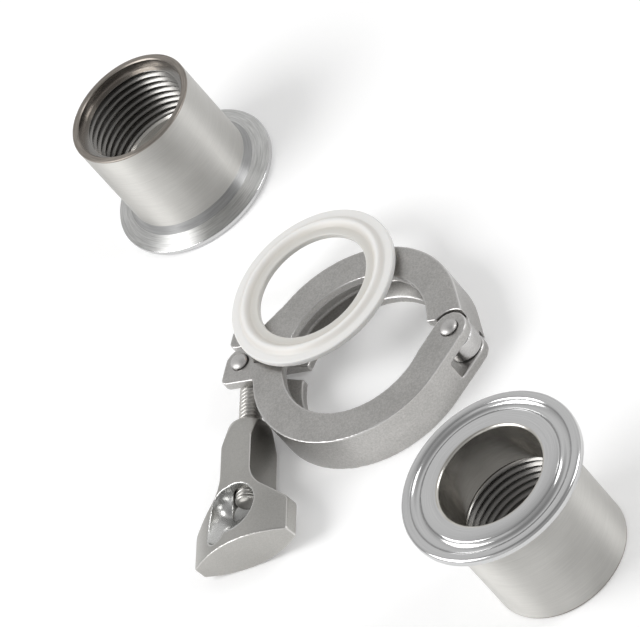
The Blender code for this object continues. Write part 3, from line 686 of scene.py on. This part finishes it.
def ferrule_section():
    """The section, and where its thread rows climb."""
    rim = arc((BARREL_R - RIM_ROUND, FERRULE_H - RIM_ROUND), RIM_ROUND, 90, 0, 5)
    edge = arc((FLANGE_R - EDGE_ROUND, EDGE_H), EDGE_ROUND, 75, 0, 5)
    edge += arc((FLANGE_R - FACE_ROUND, FACE_ROUND), FACE_ROUND, 0, -90, 12)
    angles = np.radians(np.linspace(8, 172, 16))
    face = [(SEAL_R + GROOVE_HALF + out, deep) for out, deep in GROOVE_LIP]
    face += [(SEAL_R + math.cos(a) * GROOVE_HALF, math.sin(a) * GROOVE_DEEP) for a in angles]
    face += [(SEAL_R - GROOVE_HALF - out, deep) for out, deep in reversed(GROOVE_LIP)]
    face.append((BORE_R + BORE_ROUND, 0.0))
    bore = arc((BORE_R + BORE_ROUND, BORE_ROUND), BORE_ROUND, -90, -180, 9) + BORE
    before = named(rim, "rim") + named(BARREL, "barrel") + named(FLARE, "flare") + named(CONE, "cone")
    before += named(edge + face, "face") + named(bore, "bore")
    count = spiral_rows(THREAD_LOW, THREAD_HIGH, PIPE_PITCH, PIPE_ROWS)
    thread = named([(THREAD_MINOR_R, THREAD_LOW)] * count, "thread")
    spiral = (len(before), len(before) + count, THREAD_LOW, THREAD_HIGH, PIPE_PITCH, PIPE_ROWS)
    return before + thread + named(MOUTH, "mouth") + named(MOUTH_RIM, "rim"), spiral


def ferrule(solid, at, turned_over):
    name = solid + "_piece"
    foot = Vector((at.x, at.y, 0.0))
    finishes = {}
    for part, (look, *values) in FERRULE_FINISHES.items():
        finishes[part] = turned_steel(f"{name}_{look}", foot, *values)
    section, spiral = ferrule_section()
    blank = turned_mesh(name, section, TURN_STEPS, finishes, spiral)
    mesh = apply_tree(name, blank, thread_tree, {
        "Inner radius": THREAD_MINOR_R, "Depth": THREAD_DEEP, "Pitch": PIPE_PITCH,
        "First height": THREAD_LOW, "Last height": THREAD_HIGH, "First fade": 1.6, "Last fade": 0.01,
        "Finish": finishes["thread"]})
    place = Matrix.Translation(foot) @ TO_METRES
    if turned_over:
        foot.z = FERRULE_H * MM
        place = Matrix.Translation(foot) @ Matrix.Rotation(math.pi, 4, "X") @ TO_METRES
    set_in_place(solid, mesh, place, "fork_half", sharp_deg=14.0)


ferrule("ferrule_thread_up", back_ferrule_at, turned_over=False)
ferrule("ferrule_face_up", front_ferrule_at, turned_over=True)

# %% [markdown]
# The gasket is pressed. A half-round bead stands on both faces of its flat web, and runs into the
# web in a soft curve. Its rims are rounded. Here too half a section is swung round.

# %% Gasket
GASKET_WEB, GASKET_CORNER = 1.9, 0.5
BEAD_PROUD, BEAD_HALF, BEAD_POWER = 1.1, 1.9, 1.5


def gasket_section():
    low, high = BEAD_PROUD, BEAD_PROUD + GASKET_WEB
    across = np.linspace(-BEAD_HALF, BEAD_HALF, 29)
    rise = BEAD_PROUD * np.cos(across / BEAD_HALF * math.pi / 2) ** BEAD_POWER
    crown = [(SEAL_R - x, high + y) for x, y in zip(across, rise)]
    sole = [(SEAL_R + x, low - y) for x, y in zip(across, rise)]
    inner_at, outer_at = GASKET_IN_R + GASKET_CORNER, FLANGE_R - GASKET_CORNER
    inner = arc((inner_at, low + GASKET_CORNER), GASKET_CORNER, -90, -180, 6)
    inner += arc((inner_at, high - GASKET_CORNER), GASKET_CORNER, -180, -270, 6)
    outer = arc((outer_at, high - GASKET_CORNER), GASKET_CORNER, 90, 0, 6)
    outer += arc((outer_at, low + GASKET_CORNER), GASKET_CORNER, 0, -90, 6)
    return named(outer + sole[::-1] + inner + crown[::-1], "gasket")


gasket_foot = Vector((gasket_at.x, gasket_at.y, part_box("gasket")[0].z))
gasket_mesh = turned_mesh("gasket_piece", gasket_section(), TURN_STEPS, {"gasket": gasket_finish})
set_in_place("gasket", gasket_mesh, Matrix.Translation(gasket_foot) @ TO_METRES,
             "slot_half", sharp_deg=60.0)

# %% [markdown]
# A rivet's head is upset by a rounded tool, so it is a low dome with a soft rim. The pin below it
# fills the hole and ends just inside the lower ear, so that the clamp lies flat.

# %% Pins
PIN_HEAD_R, PIN_HEAD_AT, PIN_HEAD_RISE = 2.65, 13.35, 1.1
PIN_SHANK = [(2.62, 13.32), (2.5, 13.3), (2.2, 13.3), (2.2, 0.5), (2.0, 0.3), (0.0, 0.3)]


def pin_mesh(name):
    angles = np.radians(np.linspace(90, 8, 12))
    dome = [(PIN_HEAD_R * math.cos(a), PIN_HEAD_AT + PIN_HEAD_RISE * math.sin(a)) for a in angles]
    return turned_mesh(name, named(dome + PIN_SHANK, "pin"), 48, {"pin": PIN_STEEL})


for solid, at in (("hinge_pin", hinge_at), ("bolt_pin", bolt_pin_at)):
    mesh = pin_mesh(solid + "_piece")
    pin_place = Matrix.Translation(at) @ TO_METRES
    set_in_place(solid, mesh, pin_place, "fork_half", sharp_deg=50.0)

# %% [markdown]
# The swing bolt is a quarter inch bolt of 1.27 mm pitch with an eye. The shank is a finely stepped
# rod that the thread tree cuts, and the eye is a ring that the rod grows out of.

# %% Swing bolt
BOLT_R, BOLT_ROOT_R, BOLT_LENGTH, BOLT_PITCH, BOLT_ROWS = 3.175, 2.5, 43.7, 1.27, 12
BOLT_THREAD_LOW, BOLT_THREAD_HIGH = 4.4, BOLT_LENGTH - 0.6
BOLT_ROOT = [(0.0, 2.75), (2.9, 2.75), (2.9, 4.3)]
BOLT_TIP = [(3.1, BOLT_LENGTH - 0.58), (3.1, BOLT_LENGTH - 0.35), (2.75, BOLT_LENGTH), (0.0, BOLT_LENGTH)]
EYE_R, EYE_HOLE_R, EYE_ROUND, EYE_BEVEL = 4.8, 2.5, 0.45, 0.2


def eye_section():
    out, up = EYE_R - EYE_ROUND, BOLT_R - EYE_ROUND
    eye = arc((out, up), EYE_ROUND, 90, 0, 4) + arc((out, -up), EYE_ROUND, 0, -90, 4)
    eye += [(EYE_HOLE_R + EYE_BEVEL, -BOLT_R), (EYE_HOLE_R, EYE_BEVEL - BOLT_R)]
    eye += [(EYE_HOLE_R, BOLT_R - EYE_BEVEL), (EYE_HOLE_R + EYE_BEVEL, BOLT_R)]
    return named(eye, "bolt")


def bolt_mesh(name):
    low, high, first = BOLT_THREAD_LOW, BOLT_THREAD_HIGH, len(BOLT_ROOT)
    count = spiral_rows(low, high, BOLT_PITCH, BOLT_ROWS)
    section = named(BOLT_ROOT + [(BOLT_ROOT_R, low)] * count + BOLT_TIP, "bolt")
    spiral = (first, first + count, low, high, BOLT_PITCH, BOLT_ROWS)
    blank = turned_mesh(name, section, 56, {"bolt": BOLT_STEEL}, spiral)
    shank = apply_tree(name, blank, thread_tree, {
        "Inner radius": BOLT_ROOT_R, "Depth": BOLT_R - BOLT_ROOT_R, "Pitch": BOLT_PITCH,
        "First height": low, "Last height": high, "First fade": 0.4, "Last fade": 0.1,
        "Finish": BOLT_STEEL})
    shank.transform(Matrix.Rotation(math.radians(90), 4, "Y"))
    bm = bmesh.new()
    bm.from_mesh(shank)
    bm.from_mesh(turned_mesh(name + "_eye", eye_section(), 64, {"bolt": BOLT_STEEL}))
    bm.to_mesh(shank)
    bm.free()
    return shank


bolt_piece_mesh = bolt_mesh("swing_bolt_piece")
set_in_place("swing_bolt", bolt_piece_mesh, bolt_place, "bolt", sharp_deg=50.0)

# %% [markdown]
# Each cast piece is first cut from plain solids with Booleans: plates with an outline, blocks, rods
# and the hulls of points.

# %% Solids to cut with
def mesh_of(name, bm):
    """Ends a bmesh as a mesh whose faces point out."""
    bmesh.ops.recalc_face_normals(bm, faces=bm.faces)
    mesh = bpy.data.meshes.new(name)
    bm.to_mesh(mesh)
    bm.free()
    return mesh


def plate(name, outline, bottom, top):
    """A closed outline in the XY plane with a thickness."""
    bm = bmesh.new()
    face = bm.faces.new([bm.verts.new((x, y, bottom)) for x, y in outline])
    walls = bmesh.ops.extrude_face_region(bm, geom=[face])
    lifted = [vert for vert in walls["geom"] if isinstance(vert, bmesh.types.BMVert)]
    bmesh.ops.translate(bm, verts=lifted, vec=(0, 0, top - bottom))
    return shown(name, mesh_of(name, bm))


def block(name, low, high):
    outline = [(low[0], low[1]), (high[0], low[1]), (high[0], high[1]), (low[0], high[1])]
    return plate(name, outline, low[2], high[2])


def rod(name, radius, start, end, steps=64):
    start, end = Vector(start), Vector(end)
    length = (end - start).length
    section = named([(0.0, length), (radius, length), (radius, 0.0), (0.0, 0.0)], "cut")
    mesh = turned_mesh(name, section, steps)
    turn = (end - start).to_track_quat("Z", "Y").to_matrix().to_4x4()
    mesh.transform(Matrix.Translation(start) @ turn)
    return shown(name, mesh)


def hull_of(name, points):
    bm = bmesh.new()
    for point in points:
        bm.verts.new(point)
    bmesh.ops.convex_hull(bm, input=bm.verts[:])
    inside = [vert for vert in bm.verts if not vert.link_faces]
    bmesh.ops.delete(bm, geom=inside, context="VERTS")
    return shown(name, mesh_of(name, bm))


def circle_points(steps, radius):
    angles = [math.tau * i / steps for i in range(steps)]
    return [(radius * math.cos(a), radius * math.sin(a)) for a in angles]


def ball_points(centre, radius, steps=40):
    centre = Vector(centre)
    points = [centre + UP * radius, centre - UP * radius]
    for row in range(1, steps // 2):
        tilt = math.pi * row / (steps // 2)
        ring = circle_points(steps, radius * math.sin(tilt))
        points += [centre + Vector((x, y, radius * math.cos(tilt))) for x, y in ring]
    return points


print("cutting helpers ready")

# %% [markdown]
# A casting has no sharp corner: the mould and the blasting round every edge a little. So a voxel
# remesh and a light smoothing turn the hard edges into soft ones. How far a point stands out from
# its smoothed neighbourhood tells where the corners are. That is stored as the edge attribute
# that the wear and painted highlight effect reads.

# %% Cast skin
SOFT_ROUNDS, WEAR_AND_HIGHLIGHT_ROUNDS, SMOOTH_SHARE = 3, 9, 0.6
WEAR_AND_HIGHLIGHT_LOW, WEAR_AND_HIGHLIGHT_HIGH = 0.03, 0.085


def surface_tree(mesh):
    faces = [face.vertices for face in mesh.polygons]
    return BVHTree.FromPolygons([vert.co for vert in mesh.vertices], faces)


def boolean(obj, other, operation="DIFFERENCE"):
    modifier = obj.modifiers.new(other.name, "BOOLEAN")
    modifier.operation = operation
    modifier.solver = "EXACT"
    modifier.object = other


def smoothed(points, edges, rounds):
    """Points after a number of rounds in which each moves towards the mean of its neighbours."""
    count = np.bincount(edges.ravel(), minlength=len(points))[:, None]
    for _ in range(rounds):
        total = np.zeros_like(points)
        for axis in range(3):
            total[:, axis] = np.bincount(edges[:, 0], points[edges[:, 1], axis], len(points))
            total[:, axis] += np.bincount(edges[:, 1], points[edges[:, 0], axis], len(points))
        points = points * (1 - SMOOTH_SHARE) + SMOOTH_SHARE * total / count
    return points


def cast_mesh(name, obj, cuts, voxel, finish, others=()):
    """Cuts a blank, remeshes it, softens its edges and stores where they are."""
    for cut in cuts:
        boolean(obj, cut)
    remesh = obj.modifiers.new("cast_skin", "REMESH")
    remesh.mode = "VOXEL"
    remesh.voxel_size = voxel
    bpy.context.view_layer.update()
    graph = bpy.context.evaluated_depsgraph_get()
    mesh = bpy.data.meshes.new_from_object(obj.evaluated_get(graph))
    mesh.name = name
    for used in (obj, *cuts, *others):
        bpy.data.objects.remove(used, do_unlink=True)
    points = np.empty(len(mesh.vertices) * 3)
    mesh.vertices.foreach_get("co", points)
    edges = np.empty(len(mesh.edges) * 2, np.int32)
    mesh.edges.foreach_get("vertices", edges)
    points, edges = points.reshape(-1, 3), edges.reshape(-1, 2)
    points = smoothed(points, edges, SOFT_ROUNDS)
    mesh.vertices.foreach_set("co", points.ravel())
    mesh.update()
    normals = np.array([normal.vector for normal in mesh.vertex_normals])
    # The edge attribute marks the convex corners for the worn tone, which is partly a painted highlight.
    proud = ((points - smoothed(points, edges, WEAR_AND_HIGHLIGHT_ROUNDS)) * normals).sum(1)
    worn_and_highlit = np.clip((proud - WEAR_AND_HIGHLIGHT_LOW) / (WEAR_AND_HIGHLIGHT_HIGH - WEAR_AND_HIGHLIGHT_LOW), 0, 1).astype(np.float32)
    mesh.attributes.new("edge", "FLOAT", "POINT").data.foreach_set("value", worn_and_highlit)
    mesh.materials.clear()
    mesh.materials.append(finish)
    return mesh


def give_second_finish(mesh, finish, is_there):
    """Gives another finish to the faces whose middles pass a test."""
    mesh.materials.append(finish)
    for face in mesh.polygons:
        if is_there(face.center):
            face.material_index = 1


print("edges are softened in", SOFT_ROUNDS, "rounds")

# %% [markdown]
# The clamp is two cast half rings. Both have the tapered groove that squeezes the flanges
# together. One half ends in two ears at the hinge and a forked lug for the bolt. The other ends in
# the knuckle between those ears, and in a slotted lug that the nut pulls on. Both are drawn flat.

# %% Clamp outlines
RING_R, LIP_R, GROOVE_R, ROUGH_R = 31.5, 22.0, 26.8, 18.0
GROOVE_SLOPE_DEG, FLANGE_HALF = 20, 3.0
EAR_R, EAR_FROM_DEG, EAR_CLEARANCE, EAR_ROOM_R = 5.0, 160, 0.6, 5.85
KNUCKLE_R, KNUCKLE_TO_DEG, KNUCKLE_HALF, RUBBED_AND_HIGHLIT_HALF = 4.7, -150, 2.9, 2.8
TAPER_DEG, LUG_R, LUG_HEEL, LUG_CORNER = 35.0, 4.8, 6.8, 2.0
SEAT_NEAR, SEAT_FAR, SEAT_REACH, SEAT_RING_DEG = 5.2, 11.6, 5.0, 146
FORK_END, SLOT_HALF_END, SQUARE_END = 1.0, 3.3, 3.3
SQUARE_FROM, SQUARE_TO = HINGE_X - 9, HINGE_X - 3.5
HINGE_SLOT, HINGE_SLOT_Y, BOLT_SLOT, BOLT_SLOT_X = 6.4, -9.5, 7.05, 5.4 - LUG_X
HOLE_R, FAR = 2.5, 60.0
MID, OVER = CLAMP_W / 2, CLAMP_W + 1
tangent = math.degrees(math.acos((RING_R - EAR_R) / HINGE_X))


def groove_cutter():
    slope = math.tan(math.radians(GROOVE_SLOPE_DEG))
    floor_half = FLANGE_HALF - (GROOVE_R - FLANGE_R) * slope
    lip_half = FLANGE_HALF + (FLANGE_R - LIP_R) * slope
    section = [(0, OVER), (LIP_R, OVER), (LIP_R, MID + lip_half), (GROOVE_R, MID + floor_half),
               (GROOVE_R, MID - floor_half), (LIP_R, MID - lip_half), (LIP_R, -1), (0, -1)]
    return shown("groove", turned_mesh("groove", named(section, "cut"), 192))


def hole(name, x):
    return rod(name, HOLE_R, (x, 0, -1), (x, 0, OVER))


def fork_outline():
    heel_deg = math.degrees(math.asin(LUG_HEEL / RING_R))
    end_deg = math.degrees(math.asin(FORK_END / ROUGH_R))
    lip_deg = 360 - TAPER_DEG
    outline = arc((HINGE_X, 0), EAR_R, EAR_FROM_DEG, -tangent, 40)
    outline += arc((0, 0), RING_R, -tangent - 0.5, -180 + heel_deg, 110)
    outline += arc((LUG_CORNER - LUG_X - LUG_R, LUG_CORNER - LUG_HEEL), LUG_CORNER, -90, -180, 10)
    outline += arc((-LUG_X, 0), LUG_R, 180, 0, 30)
    outline.append((LUG_R - LUG_X, -FORK_END))
    outline += arc((0, 0), ROUGH_R, 180 + end_deg, lip_deg, 30)
    return outline + arc((0, 0), LIP_R, lip_deg, lip_deg + 0.5, 1)


def slot_outline():
    left = -LUG_X - SEAT_REACH
    corner_x, end_deg = left + LUG_CORNER, math.degrees(math.asin(SLOT_HALF_END / ROUGH_R))
    outline = [(-math.sqrt(RING_R**2 - y * y), y) for y in (SLOT_HALF_END, SEAT_NEAR)]
    outline += arc((corner_x, SEAT_NEAR + LUG_CORNER), LUG_CORNER, -90, -180, 10)
    outline += arc((corner_x, SEAT_FAR - LUG_CORNER), LUG_CORNER, 180, 90, 10)
    outline.append((SEAT_REACH - LUG_X, SEAT_FAR))
    outline += arc((0, 0), RING_R, SEAT_RING_DEG, tangent, 100)
    outline += arc((HINGE_X, 0), KNUCKLE_R, tangent, KNUCKLE_TO_DEG, 40)
    outline.append((HINGE_X - EAR_R - EAR_CLEARANCE, EAR_CLEARANCE))
    return outline + arc((0, 0), ROUGH_R, 2, 180 - end_deg, 30)


print("the outlines have", len(fork_outline()), "and", len(slot_outline()), "points")

# %% [markdown]
# The outlines are given a thickness and then cut. The slotted half gets round room for the ears,
# which ends in a square corner. Its knuckle turns between the ears, so it is rubbed smoother, and
# it gets a lighter tone that is a painted highlight.

# %% Clamp halves
CLAMP_VOXEL = 0.26


def fork_half_mesh(name):
    half = plate("fork_blank", fork_outline(), 0, CLAMP_W)
    cuts = [
        groove_cutter(),
        block("hinge_slot", (0, HINGE_SLOT_Y, MID - HINGE_SLOT / 2), (FAR, FAR, MID + HINGE_SLOT / 2)),
        block("bolt_slot", (-FAR, -FAR, MID - BOLT_SLOT / 2), (BOLT_SLOT_X, FAR, MID + BOLT_SLOT / 2)),
        hole("hinge_hole", HINGE_X),
        hole("bolt_hole", -LUG_X),
    ]
    return cast_mesh(name, half, cuts, CLAMP_VOXEL, CAST)


def on_knuckle(point):
    return math.hypot(point.x - HINGE_X, point.y) < EAR_R and abs(point.z - MID) < RUBBED_AND_HIGHLIT_HALF


def slot_half_mesh(name):
    half = plate("slot_blank", slot_outline(), 0, CLAMP_W)
    low, high, slot_r = MID - KNUCKLE_HALF, MID + KNUCKLE_HALF, BOLT_SLOT / 2
    seat_outline = [(-FAR, -slot_r)] + arc((-LUG_X, 0), slot_r, -90, 90, 30) + [(-FAR, slot_r)]
    seat = plate("seat_slot", seat_outline, 0, SEAT_FAR + 2)
    seat.data.transform(Matrix.Translation((0, 0, MID)) @ Matrix.Rotation(math.radians(-90), 4, "X"))
    cuts = [
        groove_cutter(),
        rod("lower_room", EAR_ROOM_R, (HINGE_X, 0, -1), (HINGE_X, 0, low), 96),
        rod("upper_room", EAR_ROOM_R, (HINGE_X, 0, high), (HINGE_X, 0, OVER), 96),
        block("lower_end", (SQUARE_FROM, -2, -1), (SQUARE_TO, SQUARE_END, low)),
        block("upper_end", (SQUARE_FROM, -2, high), (SQUARE_TO, SQUARE_END, OVER)),
        hole("knuckle_hole", HINGE_X),
        seat,
    ]
    mesh = cast_mesh(name, half, cuts, CLAMP_VOXEL, CAST)
    give_second_finish(mesh, KNUCKLE_STEEL_AND_HIGHLIGHT, on_knuckle)
    return mesh


fork_mesh = fork_half_mesh("clamp_half_fork_piece")
slot_mesh = slot_half_mesh("clamp_half_slot_piece")
set_in_place("clamp_half_fork", fork_mesh, clamp_place, "fork_half", sharp_deg=180.0)
set_in_place("clamp_half_slot", slot_mesh, clamp_place, "slot_half", sharp_deg=180.0)

# %% [markdown]
# The wing nut is one casting too: a round hub that swells slowly, and two wings that are a lens
# seen from the end. Each side has a window over the bolt's end, which is a funnel with a wide round
# rim that a ramp to the end face cuts off below, and a thumb dish beside it.

# %% Wing nut outlines
NUT_LENGTH, NUT_THICK, HALF_SPAN, LENS_EDGE = 42.0, 12.4, 15.5, 4.0
HUB_R, HUB_HALF_W, NUT_BORE_R, BORE_END = 5.9, 5.1, 3.475, 26.4
# The swell is turned about the bolt: radius, and distance along the bolt.
SWELL = [(0, 43), (28, 43), (28, 27.5), (8.9, 13.6), (HUB_R, 1.2), (HUB_R - 1.2, 0), (0, 0)]
RAMP_START, RAMP_DEG = 29.3, 33.0
FLARE_START, FLARE_R, FLARE_DEG, SHOULDER_R = 18.0, 10.0, 50.0, 2.2
FUNNEL_FOOT, FUNNEL_FOOT_R = Vector((25.9, 0.0, -3.2)), 3.3
FUNNEL_RIM, FUNNEL_RIM_R = Vector((31.3, -0.6, 8.0)), 8.2
DISH_BALLS = [((28.0, -3.0, 4.6), 5.0), ((36.2, -6.2, 6.7), 3.6)]


def wing_outline():
    flare = arc((FLARE_START, HUB_HALF_W + FLARE_R), FLARE_R, -90, FLARE_DEG - 90, 24)
    slope = math.tan(math.radians(FLARE_DEG))
    shoulder_x = flare[-1][0] + (HALF_SPAN - flare[-1][1]) / slope
    back = SHOULDER_R * math.tan(math.radians(FLARE_DEG / 2))
    shoulder = arc((shoulder_x + back, HALF_SPAN - SHOULDER_R), SHOULDER_R, 90 + FLARE_DEG, 90, 12)
    upper = [(-1.0, HUB_HALF_W)] + flare + shoulder + [(NUT_LENGTH, HALF_SPAN)]
    return upper + [(x, -y) for x, y in reversed(upper)]


def lens_outline():
    rise = (NUT_THICK - LENS_EDGE) / 2
    radius = (HALF_SPAN**2 + rise**2) / (2 * rise)
    reach = math.degrees(math.asin((HALF_SPAN + 1) / radius))
    top = arc((0, NUT_THICK / 2 - radius), radius, 90 - reach, 90 + reach, 60)
    return top + [(-x, -y) for x, y in top]


def window_points():
    """A funnel from a wide round rim on the upper face, cut off below by a ramp to the end face."""
    slope = math.tan(math.radians(RAMP_DEG))
    points = []
    for foot, rim in zip(circle_points(96, FUNNEL_FOOT_R), circle_points(96, FUNNEL_RIM_R)):
        foot, rim = FUNNEL_FOOT + Vector((*foot, 0)), FUNNEL_RIM + Vector((*rim, 0))
        under = foot.z - slope * (foot.x - RAMP_START)
        over = rim.z - slope * (rim.x - RAMP_START)
        points += [foot.lerp(rim, max(0.0, -under / (over - under))), rim]
    return points


def dish_points():
    """Two balls, whose hull is the dish."""
    return [point for centre, radius in DISH_BALLS for point in ball_points(centre, radius)]


print("window and dish have", len(window_points()), "and", len(dish_points()), "points")

# %% [markdown]
# The front outline, the lens and the swell are three solids, and the nut is where all three
# overlap. Its hollows are smoother than the rest, and lighter in tone, which is painted light. A
# face belongs to them if it is near one of the solids that cut them.

# %% Wing nut
NUT_VOXEL = 0.21
HOLLOW_NEAR = 0.25


def wing_nut_mesh(name):
    nut = plate("nut_blank", wing_outline(), -NUT_THICK, NUT_THICK)
    lens = plate("lens", lens_outline(), -NUT_LENGTH, NUT_LENGTH + 2)
    lens.data.transform(Matrix(((0, 0, 1, 0), (1, 0, 0, 0), (0, 1, 0, 0), (0, 0, 0, 1))))
    swell = shown("swell", turned_mesh("swell", named(SWELL, "cut"), 128))
    swell.data.transform(Matrix.Rotation(math.radians(90), 4, "Y"))
    boolean(nut, lens, "INTERSECT")
    boolean(nut, swell, "INTERSECT")
    cuts = [rod("nut_bore", NUT_BORE_R, (-1, 0, 0), (BORE_END, 0, 0))]
    for side in (1.0, -1.0):
        for label, points in (("window", window_points()), ("dish", dish_points())):
            cuts.append(hull_of(label, [(x, side * y, side * z) for x, y, z in points]))
    hollows = [surface_tree(cut.data) for cut in cuts[1:]]
    mesh = cast_mesh(name, nut, cuts, NUT_VOXEL, NUT_STEEL, (lens, swell))
    give_second_finish(mesh, DISH_STEEL_AND_PAINTED_LIGHT, lambda point: any(
        hollow.find_nearest(point, HOLLOW_NEAR)[0] for hollow in hollows))
    return mesh


nut_piece_mesh = wing_nut_mesh("wing_nut_piece")
set_in_place("wing_nut", nut_piece_mesh, nut_place, "nut", sharp_deg=180.0)
